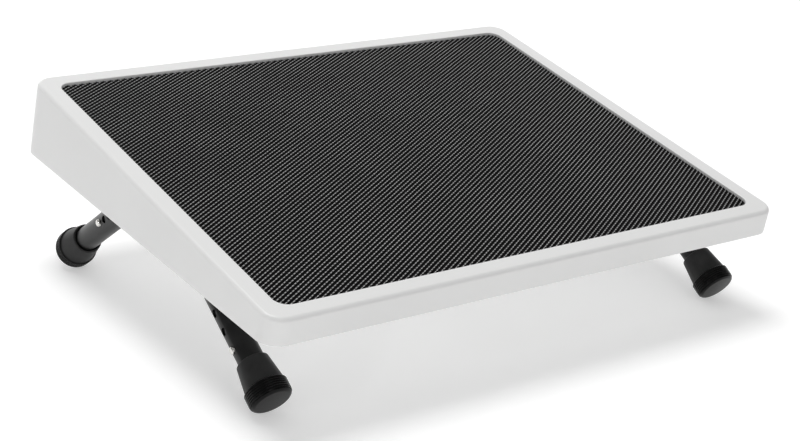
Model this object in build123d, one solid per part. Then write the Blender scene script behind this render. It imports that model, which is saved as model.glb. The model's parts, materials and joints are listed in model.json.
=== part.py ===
from build123d import *
import math
import os

# Slant board: a moulded wedge deck with a rubber mat in its recessed top. Under each side runs one bent
# steel frame tube. A leg with a rubber tip slides on each of the four ends, held by a snap button.
# Millimetres and degrees. Pieces are modelled in the deck's own frame: origin at the middle of the rim's
# top plane, +X to the right, +Y up the slope, +Z out of the mat. At the end they are tilted until all
# four tips stand on Z = 0, with the origin on the floor under the middle of the board.

# --- deck ---
deck_width = 503.0
deck_depth = 395.0
deck_corner = 16.0
deck_edge_round = 3.5
skirt_front = 22.5
skirt_back = 66.5
skirt_draft = 2.0
skirt_edge_round = 1.0
deck_wall = 3.2
rim_width = 16.0
recess_step = 1.8
recess_corner = 11.0
recess_edge_round = 0.8
rib_thickness = 2.4
rib_pitch = 48.0
rib_depth = 12.0
rib_short_of_skirt = 6.0

# --- mat ---
mat_thickness = 3.0
mat_gap = 0.4

# --- bent frame tubes ---
frame_apex_y = 10.0
frame_in_plate = 1.55
front_leg_angle = 23.1
back_leg_angle = 45.7
frame_tube_wall = 1.4
frame_bend = 56.0
frame_past_button = 12.0

# --- legs ---
leg_tube_od = 20.4
leg_tube_wall = 1.5
front_leg_from_clamp = 14.0
back_leg_from_clamp = 2.2
front_button_height = 12.5
back_button_height = 51.5
front_hole_pitch = 16.7
back_hole_pitch = 10.0
hole_count = 7
hole_end_margin = 5.0

# --- rubber tips ---
tip_floor = 6.0
tip_mouth_wall = 2.5
tip_mouth_round = 0.9
tip_mouth_depth = 2.2
tip_lip = 1.1
tip_sleeve_length = 22.5
tip_sleeve_wall = 5.5
tip_foot_length = 13.0
tip_foot_wall = 6.8
tip_foot_step = 0.6
tip_edge_round = 4.0
tip_groove_count = 6
tip_groove_pitch = 1.85
tip_groove_width = 0.75
tip_groove_depth = 0.6

# --- snap buttons and their leaf springs ---
button_radius = 3.0
button_proud = 2.0
button_round = 1.2
leaf_thickness = 0.6
leaf_width = 7.0
leaf_length = 26.0
leaf_tail = 4.5
leaf_flat = 6.0
leaf_bend_radius = 1.6

# --- clamps ---
clamp_width = 38.0
clamp_floor = 4.0
screw_radius = 2.0
screw_in_deck = 7.5
screw_in_clamp = 5.0
screw_head_radius = 3.8
screw_head_height = 2.6
screw_from_edge = 5.0
screw_from_middle = 16.0
screw_hole_spare = 0.5
driver_slot = 1.1
driver_depth = 1.3

# --- clearances ---
tube_clearance = 0.1
seat_clearance = 0.05
hole_clearance = 0.2
leaf_clearance = 0.1
clamp_gap = 0.3
clamp_from_skirt = 1.9
clamp_from_ribs = 6.1

SIDES = {"left": -1, "right": 1}
ENDS = ("front", "back")

# --- worked out from the sizes above ---
plate_top = -(recess_step + mat_thickness)
plate_underside = plate_top - deck_wall
recess_width = deck_width - 2 * rim_width
recess_length = deck_depth - 2 * rim_width
skirt_slope = math.atan2(skirt_back - skirt_front, deck_depth)
leg_radius = leg_tube_od / 2
leg_bore = leg_radius - leg_tube_wall
frame_radius = leg_bore - tube_clearance
frame_bore = frame_radius - frame_tube_wall
frame_x = deck_width / 2 - deck_wall - clamp_from_skirt - clamp_width / 2
leg_bay_width = clamp_from_skirt + clamp_width + clamp_from_ribs
screw_spread = clamp_width - 2 * screw_from_edge
tip_length = tip_sleeve_length + tip_foot_length
tip_depth = tip_length - tip_floor
tip_mouth_radius = leg_radius + tip_mouth_wall
tip_sleeve_radius = leg_radius + tip_sleeve_wall
tip_foot_radius = leg_radius + tip_foot_wall
leaf_face = math.sqrt(frame_bore**2 - (leaf_width / 2) ** 2) - leaf_clearance


def downward(angle, way):
    """Unit vector that leaves the apex at this angle below the deck, forward or back."""
    return Vector(0, way * math.cos(math.radians(angle)), -math.sin(math.radians(angle)))


leg_out = {"front": downward(front_leg_angle, -1), "back": downward(back_leg_angle, 1)}
leg_from_clamp = {"front": front_leg_from_clamp, "back": back_leg_from_clamp}
button_height = {"front": front_button_height, "back": back_button_height}
hole_pitch = {"front": front_hole_pitch, "back": back_hole_pitch}
half_opening = math.radians(180 - front_leg_angle - back_leg_angle) / 2
bend_tangent = frame_bend / math.tan(half_opening)
bend_inward = (leg_out["front"] + leg_out["back"]).normalized()
apex_to_centre = frame_bend / math.sin(half_opening)
bend_top = plate_underside + frame_in_plate - frame_radius
frame_apex_z = bend_top - frame_bend - bend_inward.Z * apex_to_centre


def apex(side):
    """Where the centre lines of a frame tube's two straight ends would meet."""
    return Vector(SIDES[side] * frame_x, frame_apex_y, frame_apex_z)


def bend_centre(side):
    return apex(side) + bend_inward * apex_to_centre


def tube_top(end):
    """Height of a leg tube's upper end above the mouth of its tip."""
    return button_height[end] + (hole_count - 1) * hole_pitch[end] + hole_end_margin


def tip_mouth(side, end):
    """Where a leg's axis enters its rubber tip. Pushed fully in, the leg stops short of the clamp."""
    return apex(side) + leg_out[end] * (bend_tangent + leg_from_clamp[end] + tube_top(end))


def leg_plane(side, end, above_mouth=0.0):
    """Local Z runs down the leg and local X points out of the board's side."""
    origin = tip_mouth(side, end) - leg_out[end] * above_mouth
    return Plane(origin=origin, x_dir=(SIDES[side], 0, 0), z_dir=leg_out[end])


def lowest_of_tip(end, tilt):
    """Height of a rubber tip's lowest point over the deck's origin, at this tilt in radians."""
    up = Vector(0, math.sin(tilt), math.cos(tilt))
    rise = leg_out[end].dot(up)
    edge_centre = tip_mouth("left", end) + leg_out[end] * (tip_length - tip_edge_round)
    face_radius = tip_foot_radius - tip_edge_round
    return edge_centre.dot(up) - face_radius * math.sqrt(1 - rise**2) - tip_edge_round


def standing_tilt():
    """The deck's slope in radians with all four tips on the floor, by halving the interval."""
    low = 0.0
    high = math.radians(40)
    for _ in range(60):
        middle = (low + high) / 2
        if lowest_of_tip("front", middle) > lowest_of_tip("back", middle):
            low = middle
        else:
            high = middle
    return low


def drafted(width, depth, corner, top, bottom):
    """A block whose four sides lean out by the draft as it goes down."""
    grow = -top * math.tan(math.radians(skirt_draft))
    face = Pos(0, 0, top) * RectangleRounded(width + 2 * grow, depth + 2 * grow, corner + grow)
    return extrude(face, amount=top - bottom, dir=(0, 0, -1), taper=-skirt_draft)


def under_skirt(raised):
    """Everything below the plane of the skirt's lower edge, raised by this much."""
    middle = -(skirt_front + skirt_back) / 2 + raised
    slab = Location((0, 0, middle), (-math.degrees(skirt_slope), 0, 0))
    return slab * Pos(0, 0, -deck_depth / 2) * Box(2 * deck_width, 2 * deck_depth, deck_depth)


def frame_path(side):
    ends = [
        tip_mouth(side, end) - leg_out[end] * (button_height[end] - frame_past_button) for end in ENDS
    ]
    return FilletPolyline(ends[0], apex(side), ends[1], radius=frame_bend)


def swept(side, radius):
    path = frame_path(side)
    return sweep(Plane(origin=path @ 0, z_dir=path % 0) * Circle(radius), path=path)


def clamp_outline(side, inner, outer):
    """The stretch beside the bend, between two radii about the bend's centre."""
    centre = bend_centre(side)
    first, last = [apex(side) + leg_out[end] * bend_tangent - centre for end in ENDS]
    middle = bend_inward * -1
    corners = [
        [centre + way.normalized() * radius for way in (first, middle, last)] for radius in (inner, outer)
    ]
    edges = [
        ThreePointArc(*corners[0]),
        Line(corners[0][2], corners[1][2]),
        ThreePointArc(*corners[1]),
        Line(corners[1][0], corners[0][0]),
    ]
    return make_face(edges)


def across(face):
    """Gives an outline beside a frame tube the clamp's width."""
    return extrude(face, amount=clamp_width / 2, dir=(1, 0, 0), both=True)


def cradle(side):
    """Solid seat that rises from the bend's centre line to the deck's plate."""
    first, last = [apex(side) + leg_out[end] * bend_tangent for end in ENDS]
    crown = bend_centre(side) - bend_inward * frame_bend
    top = plate_underside + deck_wall / 2
    edges = [
        ThreePointArc(first, crown, last),
        Line(last, (last.X, last.Y, top)),
        Line((last.X, last.Y, top), (first.X, first.Y, top)),
        Line((first.X, first.Y, top), first),
    ]
    return across(make_face(edges))


def screw_places(side):
    """Where each clamp screw crosses the bend's centre line."""
    centre = bend_centre(side)
    places = []
    for along in (-screw_from_middle, screw_from_middle):
        y = apex(side).Y + along
        z = centre.Z + math.sqrt(frame_bend**2 - (y - centre.Y) ** 2)
        for sideways in (-screw_spread / 2, screw_spread / 2):
            places.append(Vector(apex(side).X + sideways, y, z))
    return places


def upright(place, radius, low, high):
    """A cylinder along the deck's Z between two heights measured from this place."""
    middle = place + Vector(0, 0, (low + high) / 2)
    return Pos(middle.X, middle.Y, middle.Z) * Cylinder(radius, high - low)


def ribs():
    """A waffle of ribs under the plate, between the two leg bays."""
    inside = deck_width - 2 * deck_wall
    half = inside / 2 - leg_bay_width
    columns = round(2 * half / rib_pitch)
    rows = round((deck_depth - 2 * deck_wall) / rib_pitch)
    tall = rib_depth + deck_wall / 2
    middle = plate_underside - rib_depth + tall / 2
    bars = []
    for column in range(columns + 1):
        x = -half + 2 * half * column / columns
        bars.append(Pos(x, 0, middle) * Box(rib_thickness, 2 * deck_depth, tall))
    for row in range(1, rows):
        y = (row / rows - 0.5) * (deck_depth - 2 * deck_wall)
        bars.append(Pos(0, y, middle) * Box(2 * half, rib_thickness, tall))
    return Part() + bars - under_skirt(rib_short_of_skirt)


def deck_block(bottom):
    """The deck's outside as a solid, with its upper and lower edges rounded."""
    block = drafted(deck_width, deck_depth, deck_corner, 0, bottom)
    block = fillet(block.faces().sort_by(Axis.Z)[-1].edges(), deck_edge_round)
    block -= under_skirt(0)
    return fillet(block.faces().sort_by(Axis.Z)[0].edges(), skirt_edge_round)


def deck_shell():
    bottom = -(skirt_back + skirt_front)
    outside = deck_block(bottom)
    inner = [size - 2 * deck_wall for size in (deck_width, deck_depth)]
    hollow = drafted(*inner, deck_corner - deck_wall, plate_underside, bottom - 1)
    under_rim = drafted(*inner, deck_corner - deck_wall, -deck_wall, plate_underside)
    core = RectangleRounded(
        recess_width + 2 * deck_wall, recess_length + 2 * deck_wall, recess_corner + deck_wall
    )
    under_rim -= extrude(Pos(0, 0, -deck_wall) * core, amount=deck_wall - plate_underside, dir=(0, 0, -1))
    recess = extrude(RectangleRounded(recess_width, recess_length, recess_corner), amount=plate_top)
    seats = Part() + [cradle(side) for side in SIDES]
    shell = outside - hollow - under_rim - recess
    inner_edge = shell.faces().sort_by(Axis.Z)[-1].inner_wires()[0].edges()
    shell = fillet(inner_edge, recess_edge_round)
    within = drafted(deck_width - deck_wall, deck_depth - deck_wall, deck_corner, 0, bottom)
    shell += (ribs() + seats) & within
    shell -= under_skirt(0)
    for side in SIDES:
        shell -= swept(side, frame_radius + seat_clearance)
        for place in screw_places(side):
            hole_top = screw_in_deck + screw_hole_spare
            shell -= upright(place, screw_radius + seat_clearance, -2 * screw_radius, hole_top)
    return shell


def grip_mat():
    mat = RectangleRounded(
        recess_width - 2 * mat_gap, recess_length - 2 * mat_gap, recess_corner - mat_gap
    )
    return extrude(Pos(0, 0, plate_top) * mat, amount=mat_thickness)


def frame_tube(side):
    tube = swept(side, frame_radius) - swept(side, frame_bore)
    for end in ENDS:
        hole = Cylinder(button_radius + hole_clearance, frame_radius)
        hole = Rot(0, 90, 0) * Pos(0, 0, frame_radius) * hole
        tube -= leg_plane(side, end, button_height[end]) * hole
    return tube


def frame_clamp(side):
    """Saddle that holds a frame tube's bend up against its seat in the deck."""
    inner = frame_bend - frame_radius - clamp_floor
    clamp = across(clamp_outline(side, inner, frame_bend - clamp_gap))
    clamp -= swept(side, frame_radius + seat_clearance)
    for place in screw_places(side):
        clamp -= upright(place, screw_radius + hole_clearance, -2 * frame_bend, frame_bend)
        head_room = screw_head_radius + hole_clearance
        clamp -= upright(place, head_room, -frame_bend, -screw_in_clamp)
    return clamp


def clamp_screws(side):
    """Four pan-head screws with a cross slot, as separate solids."""
    screws = []
    for place in screw_places(side):
        head_top = -screw_in_clamp - screw_head_height
        screw = upright(place, screw_radius, -screw_in_clamp, screw_in_deck)
        screw += upright(place, screw_head_radius, head_top, -screw_in_clamp)
        for turn in (0, 90):
            slot = Rot(0, 0, turn) * Box(2 * screw_radius, driver_slot, driver_depth)
            screw -= Pos(place.X, place.Y, place.Z + head_top + driver_depth / 2) * slot
        screws.append(screw)
    return Compound(children=screws)


def leg_tube(side, end):
    top = tube_top(end)
    tube = Cylinder(leg_radius, top + tip_depth) - Cylinder(leg_bore, top + tip_depth)
    tube = Pos(0, 0, (tip_depth - top) / 2) * tube
    for hole in range(hole_count):
        height = button_height[end] + hole * hole_pitch[end]
        drill = Rot(0, 90, 0) * Cylinder(button_radius + hole_clearance, leg_radius)
        tube -= Pos(leg_radius, 0, -height) * drill
    return leg_plane(side, end) * tube


def rubber_tip(side, end):
    """Flared ferrule with a grooved foot, revolved about the leg's axis."""
    bore = leg_radius + seat_clearance
    foot_start = tip_sleeve_length + tip_foot_step
    foot_end = tip_length - tip_edge_round
    edge_middle = tip_edge_round * math.sqrt(0.5)
    face_radius = tip_foot_radius - tip_edge_round
    outline = [
        Line((0, 0, tip_depth), (bore, 0, tip_depth)),
        Line((bore, 0, tip_depth), (bore, 0, tip_mouth_depth)),
        Line((bore, 0, tip_mouth_depth), (tip_mouth_radius - tip_lip, 0, 0)),
        Line((tip_mouth_radius - tip_lip, 0, 0), (tip_mouth_radius - tip_mouth_round, 0, 0)),
        Line((tip_mouth_radius - tip_mouth_round, 0, 0), (tip_mouth_radius, 0, tip_mouth_round)),
        Line((tip_mouth_radius, 0, tip_mouth_round), (tip_sleeve_radius, 0, tip_sleeve_length)),
        Line((tip_sleeve_radius, 0, tip_sleeve_length), (tip_foot_radius, 0, foot_start)),
        Line((tip_foot_radius, 0, foot_start), (tip_foot_radius, 0, foot_end)),
        ThreePointArc(
            (tip_foot_radius, 0, foot_end),
            (face_radius + edge_middle, 0, foot_end + edge_middle),
            (face_radius, 0, tip_length),
        ),
        Line((face_radius, 0, tip_length), (0, 0, tip_length)),
        Line((0, 0, tip_length), (0, 0, tip_depth)),
    ]
    tip = revolve(make_face(outline), Axis.Z)
    for groove in range(tip_groove_count):
        z = foot_start + tip_groove_pitch * (groove + 0.5)
        ring = Cylinder(2 * tip_foot_radius, tip_groove_width)
        ring -= Cylinder(tip_foot_radius - tip_groove_depth, tip_groove_width)
        tip -= Pos(0, 0, z) * ring
    return leg_plane(side, end) * tip


def snap_button(side, end):
    """Domed button that stands on the leaf spring and out through both tubes."""
    height = leg_radius + button_proud - leaf_face
    button = Cylinder(button_radius, height)
    button = fillet(button.edges().sort_by(Axis.Z)[-1], button_round)
    button = Rot(0, 90, 0) * Pos(0, 0, leaf_face + height / 2) * button
    return leg_plane(side, end, button_height[end]) * button


def leaf_spring(side, end):
    """One folded strip inside the frame tube, bent at its upper end and open towards the foot."""
    wall_side = leaf_face - leaf_thickness / 2
    arm = [(wall_side, leaf_tail), (wall_side, -leaf_flat), (leaf_bend_radius, -leaf_length)]
    far_arm = [(-x, z) for x, z in reversed(arm)]
    fold = ThreePointArc(arm[-1], (0, -leaf_length - leaf_bend_radius), far_arm[0])
    strip = trace([Polyline(*arm), fold, Polyline(*far_arm)], line_width=leaf_thickness)
    strip = extrude(Rot(90, 0, 0) * strip, amount=leaf_width / 2, both=True)
    return leg_plane(side, end, button_height[end]) * strip


def pieces():
    """Every node's name and solid, in the deck's frame."""
    yield "deck_shell", deck_shell()
    yield "grip_mat", grip_mat()
    for side in SIDES:
        yield f"frame_tube_{side}", frame_tube(side)
        yield f"frame_clamp_{side}", frame_clamp(side)
        yield f"clamp_screws_{side}", clamp_screws(side)
        for end in ENDS:
            yield f"leg_tube_{end}_{side}", leg_tube(side, end)
            yield f"rubber_tip_{end}_{side}", rubber_tip(side, end)
            yield f"snap_button_{end}_{side}", snap_button(side, end)
            yield f"leaf_spring_{end}_{side}", leaf_spring(side, end)


os.makedirs("parts", exist_ok=True)
tilt = standing_tilt()
solids = dict(pieces())
middle = (Rot(math.degrees(tilt), 0, 0) * solids["deck_shell"]).bounding_box().center().Y
on_floor = Location((0, -middle, -lowest_of_tip("front", tilt)), (math.degrees(tilt), 0, 0))
for name, solid in solids.items():
    export_step(on_floor * solid, f"parts/{name}.step")
print(f"deck slope {math.degrees(tilt):.4f} degrees, middle of the deck {middle:.6f}")
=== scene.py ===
import json
from math import atan2, ceil, cos, pi, radians, sin

import bmesh
import bpy
from mathutils import Matrix, Vector


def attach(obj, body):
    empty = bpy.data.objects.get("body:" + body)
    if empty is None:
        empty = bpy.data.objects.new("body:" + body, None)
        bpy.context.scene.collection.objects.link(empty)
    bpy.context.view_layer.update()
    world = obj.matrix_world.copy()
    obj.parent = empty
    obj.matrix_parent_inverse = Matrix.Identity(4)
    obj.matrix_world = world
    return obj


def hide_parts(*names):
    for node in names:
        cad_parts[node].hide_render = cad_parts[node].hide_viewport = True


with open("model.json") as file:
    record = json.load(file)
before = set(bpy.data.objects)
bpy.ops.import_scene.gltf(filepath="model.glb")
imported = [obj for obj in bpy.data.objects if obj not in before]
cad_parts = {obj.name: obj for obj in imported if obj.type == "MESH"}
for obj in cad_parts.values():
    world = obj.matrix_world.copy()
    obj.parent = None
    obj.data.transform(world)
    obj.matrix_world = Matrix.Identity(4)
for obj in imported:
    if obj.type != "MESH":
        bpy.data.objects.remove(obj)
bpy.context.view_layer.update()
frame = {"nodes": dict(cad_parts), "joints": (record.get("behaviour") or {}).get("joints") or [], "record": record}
nodes = frame["nodes"]
mm = 0.001

# the deck's own frame: origin in the middle of the rim's top plane, +Y up the slope, +Z out of the mat
standingFace = next(m for m in frame["record"]["mounts"] if m["name"] == "standing_face")
deckUp = Vector(standingFace["axis"]).normalized()
slope = atan2(-deckUp.y, deckUp.z)
matBelowRim = 1.8 * mm
deckFrame = Matrix.Translation(Vector(standingFace["pos_m"]) + deckUp * matBelowRim)
deckFrame = deckFrame @ Matrix.Rotation(slope, 4, "X")
legNames = [f"{end}_{side}" for side in ("left", "right") for end in ("front", "back")]
print("frame loaded, deck slope", round(slope * 180 / pi, 2))


def extentIn(node, place):  # a CAD node's lowest and highest corner in another frame
    back = place.inverted()
    points = [back @ v.co for v in nodes[node].data.vertices]
    low = Vector([min(p[i] for p in points) for i in range(3)])
    high = Vector([max(p[i] for p in points) for i in range(3)])
    return low, high


# origin at the mouth of the leg's rubber tip, +Z down the leg, +X out of the board's side
def legFrame(leg):
    joint = next(j for j in frame["joints"] if j["name"] == f"leg_{leg}_slide")
    down = Vector(joint["axis"]).normalized()
    out = Vector((-1 if leg.endswith("left") else 1, 0, 0))
    turn = Matrix((out, down.cross(out), down)).transposed().to_4x4()
    low, high = extentIn(f"rubber_tip_{leg}", turn)
    middle = Vector(((low.x + high.x) / 2, (low.y + high.y) / 2, low.z))
    return Matrix.Translation(turn @ middle) @ turn


def meshFrom(name, points, faces, sharp=180):  # edges that turn by more than this many degrees stay sharp
    mesh = bpy.data.meshes.new(name)
    mesh.from_pydata(points, [], faces)
    shape = bmesh.new()
    shape.from_mesh(mesh)
    bmesh.ops.remove_doubles(shape, verts=shape.verts[:], dist=0.002 * mm)
    bmesh.ops.recalc_face_normals(shape, faces=shape.faces[:])
    for face in shape.faces:
        face.smooth = True
    for edge in shape.edges:
        edge.smooth = len(edge.link_faces) == 2 and edge.calc_face_angle(0) < radians(sharp)
    shape.to_mesh(mesh)
    shape.free()
    return mesh


def addPiece(name, mesh, look, body, place):
    mesh.transform(place)
    piece = bpy.data.objects.new(name, mesh)
    bpy.context.scene.collection.objects.link(piece)
    mesh.materials.append(look)
    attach(piece, body)
    return piece


class Wire:
    def __init__(self, look, socket):
        self.look = look
        self.socket = socket

    def maths(self, operation, first, second):
        return self.look.node("Math", {"operation": operation}, {0: first, 1: second})

    def __add__(self, other):
        return self.maths("ADD", self, other)

    __radd__ = __add__

    def __sub__(self, other):
        return self.maths("SUBTRACT", self, other)

    def __rsub__(self, other):
        return self.maths("SUBTRACT", other, self)

    def __mul__(self, other):
        return self.maths("MULTIPLY", self, other)

    __rmul__ = __mul__


class Look:  # one material, or the world, and its nodes
    def __init__(self, owner):
        self.owner = owner
        owner.use_nodes = True
        self.tree = owner.node_tree
        self.tree.nodes.clear()

    def node(self, kind, settings=None, sockets=None, output=0):
        made = self.tree.nodes.new("ShaderNode" + kind)
        for key, value in (settings or {}).items():
            setattr(made, key, value)
        for key, value in (sockets or {}).items():
            if isinstance(value, Wire):
                self.tree.links.new(value.socket, made.inputs[key])
            else:
                made.inputs[key].default_value = value
        return Wire(self, made.outputs[output]) if made.outputs else made

    def where(self):  # the surface's place in metres, which rides with the piece
        return self.node("TexCoord", output=3)

    def along(self, vector, way):
        return self.node("VectorMath", {"operation": "DOT_PRODUCT"}, {0: vector, 1: way}, output=1)

    def above(self, place):  # height over the floor of a frame, along its own Z
        up = place.to_3x3() @ Vector((0, 0, 1))
        return self.along(self.where(), up) - place.translation.dot(up)

    def grain(self, vector, scale, detail=3.0, roughness=0.55):
        sockets = {"Vector": vector, "Scale": scale, "Detail": detail, "Roughness": roughness}
        return self.node("TexNoise", None, sockets)

    def between(self, value, low, high, newLow=0.0, newHigh=1.0):
        return self.node("MapRange", None, {"Value": value, 1: low, 2: high, 3: newLow, 4: newHigh})

    def mixed(self, share, first, second):
        first, second = [end if isinstance(end, Wire) else (*end, 1) for end in (first, second)]
        return self.node("Mix", {"data_type": "RGBA"}, {0: share, 6: first, 7: second}, output=2)

    def bump(self, height, strength, depth):
        return self.node("Bump", None, {"Height": height, "Strength": strength, "Distance": depth})

    def surface(self, sockets):
        shader = self.node("BsdfPrincipled", None, sockets)
        self.node("OutputMaterial", None, {"Surface": shader})
        return self.owner


def newLook(name):
    return Look(bpy.data.materials.new(name))


midTones = (0.35, 0.65)  # the part of a noise's range that most of a surface falls in


deckPlastic = {
    "colour": (0.80, 0.80, 0.795), "shade": (0.785, 0.785, 0.78),
    "roughness": (0.34, 0.46), "speckRoughness": 0.04, "cloudScale": 9.0,
    "grainSize": 0.45 * mm, "grainDepth": 0.012 * mm,
}


def deckLook():
    look = newLook("deckWhitePlastic")
    where = look.where()
    cloud = look.grain(where, deckPlastic["cloudScale"], 4.0)
    speck = look.grain(where, 1 / deckPlastic["grainSize"], 2.0)
    rough = look.between(cloud, 0.3, 0.7, *deckPlastic["roughness"])
    change = deckPlastic["speckRoughness"]
    shade = look.between(cloud, *midTones)
    return look.surface({
        "Base Color": look.mixed(shade, deckPlastic["colour"], deckPlastic["shade"]),
        "Roughness": rough + look.between(speck, 0.3, 0.7, -change, change),
        "Normal": look.bump(speck, 0.5, deckPlastic["grainDepth"]),
        "IOR": 1.5,
    })


gripMat = {
    "studAcross": 6.59 * mm, "studAlong": 3.97 * mm,  # one diamond's long and short diagonal
    "studRise": 0.95 * mm, "crestLong": 0.6, "crestWide": 0.1,  # shares of the diamond
    "saddle": 0.34,  # height between two studs of a row, as a share of the rise
    "cornerRound": 10.6 * mm, "cornerCuts": 8,
}


# painted light on the mat: the pit colour is painted shade in the valleys, far darker than the rubber, and the two
# crest colours are a painted highlight, far lighter than the rubber, mixed at random
matRubber = {
    "pitShade": (0.001, 0.001, 0.001), "colour": (0.42, 0.42, 0.42), "dustAndSheen": (0.56, 0.56, 0.56),
    "roughness": (0.26, 0.38), "pitRougher": 0.4, "cloudScale": 14.0,
    "highlightTop": 0.42,  # the share of a stud's rise, from its crest down, that carries the painted highlight; lower down the pits get painted shade
    "grainSize": 0.5 * mm, "grainDepth": 0.006 * mm,
}


def matLook():
    look = newLook("matRubber")
    where = look.where()
    cloud = look.grain(where, matRubber["cloudScale"], 4.0)
    speck = look.grain(where, 1 / matRubber["grainSize"], 3.0)
    # random patches that vary the painted highlight on the crests
    dustAndSheen = look.between(cloud * 0.6 + speck * 0.4, 0.42, 0.68)
    highlightFrom = -matBelowRim - gripMat["studRise"] * matRubber["highlightTop"]
    height = look.between(look.above(deckFrame), highlightFrom, -matBelowRim)
    rough = look.between(cloud * 0.5 + speck * 0.5, *midTones, *matRubber["roughness"])
    tone = look.mixed(dustAndSheen, matRubber["colour"], matRubber["dustAndSheen"])
    return look.surface({
        # painted shade in the pits and painted highlight on the crests, chosen by height over the valleys
        "Base Color": look.mixed(height * height * height, matRubber["pitShade"], tone),
        "Roughness": rough + (1 - height) * matRubber["pitRougher"],
        "Normal": look.bump(speck, 0.6, matRubber["grainDepth"]),
        "Specular IOR Level": 0.08,
    })


legPaint = {
    "colour": (0.007, 0.007, 0.007), "secondTone": (0.014, 0.014, 0.014),
    "roughness": (0.28, 0.38), "cloudScale": 60.0, "peelSize": 1.4 * mm, "peelDepth": 0.008 * mm,
}


def legLook():
    look = newLook("legBlackPaint")
    where = look.where()
    peel = look.grain(where, 1 / legPaint["peelSize"], 2.0)
    cloud = look.grain(where, legPaint["cloudScale"], 4.0)
    return look.surface({
        "Base Color": look.mixed(look.between(cloud, 0.4, 0.75), legPaint["colour"], legPaint["secondTone"]),
        "Roughness": look.between(cloud, 0.3, 0.7, *legPaint["roughness"]),
        "Normal": look.bump(peel, 0.5, legPaint["peelDepth"]),
        "Specular IOR Level": 0.28,
    })


tipRubber = {
    # the last colour, used on the foot, is painted shade, far darker than the sleeve's rubber
    "colour": (0.021, 0.021, 0.021), "bloom": (0.033, 0.033, 0.033), "secondTone": (0.003, 0.003, 0.003),
    "roughness": (0.42, 0.54), "footSmoother": 0.3, "footFrom": 21.5 * mm, "footTo": 23.5 * mm,
    "cloudScale": 70.0, "grainSize": 0.8 * mm, "grainDepth": 0.008 * mm,
}


def tipLook(leg):  # the foot is worn smoother than the sleeve, and its darker colour is painted shade
    look = newLook(f"tipRubber.{leg}")
    where = look.where()
    speck = look.grain(where, 1 / tipRubber["grainSize"], 3.0)
    cloud = look.grain(where, tipRubber["cloudScale"], 4.0)
    foot = look.between(look.above(legFrame(leg)), tipRubber["footFrom"], tipRubber["footTo"])
    rough = look.between(cloud * 0.6 + speck * 0.4, *midTones, *tipRubber["roughness"])
    sleeve = look.mixed(look.between(cloud, 0.35, 0.7), tipRubber["colour"], tipRubber["bloom"])
    return look.surface({
        # the foot and its end face get the much darker colour: painted shade
        "Base Color": look.mixed(foot, sleeve, tipRubber["secondTone"]),
        "Roughness": rough - foot * tipRubber["footSmoother"],
        "Normal": look.bump(speck, 0.5, tipRubber["grainDepth"]),
        "Specular IOR Level": 0.15,
    })


# name: colour, metallic, roughness low and high, size and depth of the surface's grain
metalsAndPlastics = {
    "buttonNickel": ((0.78, 0.77, 0.74), 1.0, (0.12, 0.24), 0.7 * mm, 0.004 * mm),
    "screwZinc": ((0.60, 0.60, 0.58), 1.0, (0.25, 0.40), 0.8 * mm, 0.010 * mm),
    "springSteel": ((0.26, 0.28, 0.33), 1.0, (0.22, 0.34), 0.9 * mm, 0.006 * mm),
    "clampNylon": ((0.022, 0.022, 0.023), 0.0, (0.45, 0.62), 0.7 * mm, 0.03 * mm),
}


stain = {"scale": 90.0, "share": 0.78}  # faint darker clouds on every small part


def plainLook(name):
    colour, metallic, rough, size, depth = metalsAndPlastics[name]
    look = newLook(name)
    where = look.where()
    speck = look.grain(where, 1 / size, 3.0)
    cloud = look.grain(where, stain["scale"], 4.0)
    darker = [part * stain["share"] for part in colour]
    return look.surface({
        "Base Color": look.mixed(look.between(cloud, *midTones), colour, darker),
        "Metallic": metallic,
        "Roughness": look.between(cloud * 0.5 + speck * 0.5, *midTones, *rough),
        "Normal": look.bump(speck, 0.5, depth),
    })


looks = {"deck": deckLook(), "mat": matLook(), "leg": legLook()}
looks |= {f"rubber_tip_{leg}": tipLook(leg) for leg in legNames}
looks |= {name: plainLook(name) for name in metalsAndPlastics}
finishOf = {
    "deck_shell": "deck", "grip_mat": "mat", "leg_tube": "leg", "frame_tube": "leg",
    "snap_button": "buttonNickel", "clamp_screws": "screwZinc",
    "leaf_spring": "springSteel", "frame_clamp": "clampNylon",
}
for name, node in nodes.items():
    kind = next((start for start in finishOf if name.startswith(start)), None)
    finish = finishOf[kind] if kind else name  # each rubber tip has its own look
    node.data.materials.clear()
    node.data.materials.append(looks[finish])
print("finishes made:", len(looks))


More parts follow.
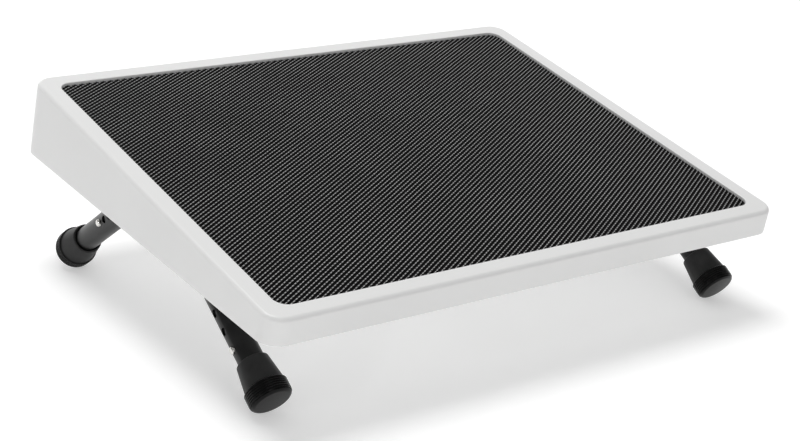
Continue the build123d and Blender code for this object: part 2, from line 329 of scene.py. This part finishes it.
def makeGripMat():
    low, high = extentIn("grip_mat", deckFrame)
    halfX, halfY = (high.x - low.x) / 2, (high.y - low.y) / 2
    valley = high.z - gripMat["studRise"]
    pitchX, pitchY = gripMat["studAcross"], gripMat["studAlong"]
    columns, rows = ceil(halfX / pitchX) + 1, ceil(halfY / pitchY) + 1
    points, faces = [], []
    corner = {}

    def valleyPoint(i, j):  # corners of the diamonds lie on a lattice of half pitches
        if (i, j) not in corner:
            corner[i, j] = len(points)
            points.append((i * pitchX / 2, j * pitchY / 2, valley))
        return corner[i, j]

    def saddlePoint(i, j):  # halfway along the low edge between two studs of one row, in quarter pitches
        if (i, j, "saddle") not in corner:
            corner[i, j, "saddle"] = len(points)
            height = valley + gripMat["saddle"] * gripMat["studRise"]
            points.append((i * pitchX / 4, j * pitchY / 4, height))
        return corner[i, j, "saddle"]

    along = Vector((pitchX, pitchY)) / 4  # from a stud's middle to its row's next saddle
    aside = Vector((-pitchX, pitchY)) / 4
    crest = [along * gripMat["crestLong"] * a + aside * gripMat["crestWide"] * b
             for a, b in ((1, 1), (1, -1), (-1, -1), (-1, 1))]
    for i in range(-2 * columns, 2 * columns + 1):
        for j in range(-2 * rows, 2 * rows + 1):
            if (i + j) % 2:
                continue
            around = ((i + 1, j), (i, j + 1), (i - 1, j), (i, j - 1))
            right, back, left, front = [valleyPoint(*at) for at in around]
            far, near = saddlePoint(2 * i + 1, 2 * j + 1), saddlePoint(2 * i - 1, 2 * j - 1)
            top = len(points)
            middleX, middleY = i * pitchX / 2, j * pitchY / 2
            points += [(middleX + offset.x, middleY + offset.y, high.z) for offset in crest]
            a, b, c, d = range(top, top + 4)
            faces += [(a, d, c, b), (back, left, d, a), (front, right, b, c)]
            faces += [(right, far, b), (far, a, b), (far, back, a)]
            faces += [(left, near, d), (near, c, d), (near, front, c)]
    mesh = bpy.data.meshes.new("gripMatStuds")
    mesh.from_pydata(points, [], faces)
    shape = bmesh.new()
    shape.from_mesh(mesh)
    cuts = []
    cornerRound = gripMat["cornerRound"]
    for quarter in range(4):
        sx, sy = ((1, 1), (-1, 1), (-1, -1), (1, -1))[quarter]
        centre = Vector((sx * (halfX - cornerRound), sy * (halfY - cornerRound), 0))
        for step in range(gripMat["cornerCuts"] + 1):
            turn = pi / 2 * (quarter + step / gripMat["cornerCuts"])
            way = Vector((cos(turn), sin(turn), 0))
            cuts.append((centre + way * cornerRound, way))
    for point, way in cuts:
        everything = shape.verts[:] + shape.edges[:] + shape.faces[:]
        bmesh.ops.bisect_plane(shape, geom=everything, plane_co=point, plane_no=way, clear_outer=True)
    rim = [edge for edge in shape.edges if edge.is_boundary]
    skirt = bmesh.ops.extrude_edge_only(shape, edges=rim)["geom"]
    for part in skirt:
        if isinstance(part, bmesh.types.BMVert):
            part.co.z = low.z
    bottom = [edge for edge in shape.edges if edge.is_boundary]
    bmesh.ops.contextual_create(shape, geom=bottom)
    bmesh.ops.recalc_face_normals(shape, faces=shape.faces[:])
    shape.to_mesh(mesh)
    shape.free()
    piece = addPiece("gripMatStuds", mesh, looks["mat"], "deck", deckFrame)
    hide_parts("grip_mat")
    return piece


mat = makeGripMat()
print("grip mat:", len(mat.data.polygons), "faces")


rubberTip = {
    "around": 120, "lip": 1.1 * mm, "lipRound": 1.3 * mm, "lipDepth": 2.2 * mm, "bore": 10.25 * mm,
    "mouth": 12.7 * mm, "sleeve": 15.7 * mm, "sleeveEnd": 22.5 * mm, "step": 0.7 * mm,
    "edgeRound": 4.0 * mm, "dome": 0.25 * mm,
    "grooves": 6, "groovePitch": 1.85 * mm, "grooveWidth": 0.85 * mm, "grooveDepth": 0.8 * mm,
    "edgeSoft": 0.3, "edgeDrop": 0.7,  # a land's soft edge: shares of the groove's width, then of that
    "well": 0.8,  # how deep the leg's tube goes in, as a share of the tip's length
}


def arc(centre, radius, start, end, steps):  # points (radius, height) along a quarter of a rounding
    turns = [radians(start + (end - start) * step / steps) for step in range(steps + 1)]
    return [(centre[0] + radius * cos(turn), centre[1] + radius * sin(turn)) for turn in turns]


def footOutline(foot, length):  # the grooved foot from the sleeve's end to the rim of its end face
    tip = rubberTip
    start = tip["sleeveEnd"] + tip["step"]
    middle = (foot - tip["edgeRound"], length - tip["edgeRound"])
    plain = [(foot, start), *arc(middle, tip["edgeRound"], 0, 90, 24)]
    lengths = [0.0]
    for near, far in zip(plain, plain[1:]):
        lengths.append(lengths[-1] + (Vector(far) - Vector(near)).length)

    def pointAt(run, inward):
        k = max(i for i in range(len(plain) - 1) if lengths[i] <= run)
        near, far = Vector(plain[k]), Vector(plain[k + 1])
        way = (far - near).normalized()
        return tuple(near + way * (run - lengths[k]) + Vector((-way.y, way.x)) * inward)

    softness = tip["grooveWidth"] * tip["edgeSoft"]
    drop = tip["edgeDrop"]
    steps = (0, 0.5, 1)

    def landStart(run):  # three points over the soft edge that rises out of a groove
        return [pointAt(run + softness * step, softness * (1 - step) ** 2 * drop) for step in steps]

    def landEnd(run):
        return [pointAt(run - softness * (1 - step), softness * step ** 2 * drop) for step in steps]

    outline = []
    for groove in range(tip["grooves"]):
        land = groove * tip["groovePitch"]
        cut = land + tip["groovePitch"] - tip["grooveWidth"]
        outline += [*landStart(land), *landEnd(cut), pointAt(cut + softness, tip["grooveDepth"])]
        outline += [pointAt(cut + tip["grooveWidth"] - softness, tip["grooveDepth"])]
    last = tip["grooves"] * tip["groovePitch"]
    outline += landStart(last)
    outline += [point for point, run in zip(plain, lengths) if run > last + softness]
    return outline


def lathe(name, outline, around):  # outline is (radius, height along the axis) from one end to the other
    points, faces = [], []
    for step in range(around):
        turn = 2 * pi * step / around
        points += [(radius * cos(turn), radius * sin(turn), height) for radius, height in outline]
    count = len(outline)
    for step in range(around):
        near, far = step * count, (step + 1) % around * count
        for k in range(count - 1):
            faces.append((near + k, far + k, far + k + 1, near + k + 1))
    return meshFrom(name, points, faces, sharp=50)


def makeRubberTip(leg):
    tip = rubberTip
    place = legFrame(leg)
    low, high = extentIn(f"rubber_tip_{leg}", place)
    foot, length = high.x, high.z
    wellEnd = length * tip["well"]
    outline = [(0, wellEnd), (tip["bore"], wellEnd), (tip["bore"], tip["lipDepth"])]
    outline.append((tip["mouth"] - tip["lip"] - tip["lipRound"] * 0.5, tip["lipRound"] * 0.25))
    outline += arc((tip["mouth"] - tip["lipRound"], tip["lipRound"]), tip["lipRound"], -90, -8, 8)
    outline += [(tip["sleeve"], tip["sleeveEnd"]), *footOutline(foot, length)]
    rim = outline[-1]
    shares = [1 - step / 6 for step in range(1, 7)]
    outline += [(rim[0] * share, length + tip["dome"] * (1 - share * share)) for share in shares]
    piece = addPiece(f"rubberTip.{leg}", lathe(f"rubberTip.{leg}", outline, tip["around"]),
                     looks[f"rubber_tip_{leg}"], f"leg_{leg}", place)
    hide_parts(f"rubber_tip_{leg}")


for leg in legNames:
    makeRubberTip(leg)
print("rubber tips:", len(legNames))


floorAndLight = {
    "floorColour": (0.74, 0.74, 0.74), "floorShade": 0.99, "floorGlow": 0.4, "floorSize": 14.0,
    "skyTop": 0.26, "skyFront": 0.24, "skyBack": 2.2, "bandLow": 0.12, "bandHigh": 0.9,
    "back": (0.35, 0.94, 0.0),  # the way to the brightest part of the backdrop
    "backFrom": 0.55, "backTo": 0.92,  # cosines from that way, where it starts and is at its full
    "aimHeight": 0.1,
}
# name: power, size and place
lamps = {
    "softTop": (136.0, 2.6, (-0.2, 1.2, 4.6)),
    "softFront": (9.0, 1.2, (-0.5, -2.5, 1.0)),
    "smallKey": (2.8, 0.09, (-1.9, -0.5, 0.6)),
}


def floorLook():
    look = newLook("paleFloor")
    cloud = look.grain(look.where(), 1.5, 3.0)
    tone, shade = floorAndLight["floorColour"], floorAndLight["floorShade"]
    share = look.between(cloud, 0.3, 0.7)
    return look.surface({
        "Base Color": look.mixed(share, tone, [part * shade for part in tone]),
        "Roughness": 0.9,
        "Emission Color": look.mixed(share, (1, 1, 1), (shade, shade, shade)),
        "Emission Strength": floorAndLight["floorGlow"],
    })


def makeFloor():
    half = floorAndLight["floorSize"] / 2
    mesh = bpy.data.meshes.new("paleFloor")
    corners = [(-half, -half, 0), (half, -half, 0), (half, half, 0), (-half, half, 0)]
    mesh.from_pydata(corners, [], [(0, 1, 2, 3)])
    mesh.materials.append(floorLook())
    floor = bpy.data.objects.new("paleFloor", mesh)
    bpy.context.scene.collection.objects.link(floor)


def areaLight(name, power, size, place):
    lamp = bpy.data.lights.new(name, "AREA")
    lamp.shape = "DISK"
    lamp.energy = power
    lamp.size = size
    lightObject = bpy.data.objects.new(name, lamp)
    bpy.context.scene.collection.objects.link(lightObject)
    lightObject.location = place
    aim = Vector((0, 0, floorAndLight["aimHeight"])) - Vector(place)
    lightObject.rotation_euler = aim.to_track_quat("-Z", "Y").to_euler()


def makeWorld():  # a bright band low down behind the board, dimmer in front and overhead
    world = bpy.data.worlds.new("studio")
    bpy.context.scene.world = world
    sky = Look(world)
    way = sky.node("TexCoord")
    light = floorAndLight
    height = sky.along(way, (0, 0, 1))
    behind = sky.along(way, light["back"])
    band = sky.between(height, light["bandLow"], light["bandHigh"], 1.0, 0.0)
    low = sky.between(behind, light["backFrom"], light["backTo"], light["skyFront"], light["skyBack"])
    strength = band * (low - light["skyTop"]) + light["skyTop"]
    shader = sky.node("Background", None, {"Color": (1, 1, 1, 1), "Strength": strength})
    sky.node("OutputWorld", None, {"Surface": shader})


makeFloor()
makeWorld()
for name, (power, size, place) in lamps.items():
    areaLight(name, power, size, place)

# the camera's place and its two ways of looking, all in the deck's frame
camera = {
    "lens": 74.48, "sensor": 36.0, "clip": (0.05, 50.0),
    "place": Vector((-804.3, -969.4, 608.2)) * mm,
    "forward": Vector((0.56498, 0.67405, -0.47587)),
    "right": Vector((0.80998, -0.56302, 0.16416)),
}


def makeCamera():
    right, forward = camera["right"].normalized(), camera["forward"].normalized()
    up = right.cross(forward)
    turn = Matrix((right, up, -forward)).transposed().to_4x4()
    lens = bpy.data.cameras.new("studioCamera")
    lens.lens = camera["lens"]
    lens.sensor_width = camera["sensor"]
    lens.clip_start, lens.clip_end = camera["clip"]
    body = bpy.data.objects.new("studioCamera", lens)
    bpy.context.scene.collection.objects.link(body)
    body.matrix_world = deckFrame @ Matrix.Translation(camera["place"]) @ turn
    bpy.context.scene.camera = body


makeCamera()
bpy.context.scene.view_settings.view_transform = "Standard"
print("stage, lights and camera set")
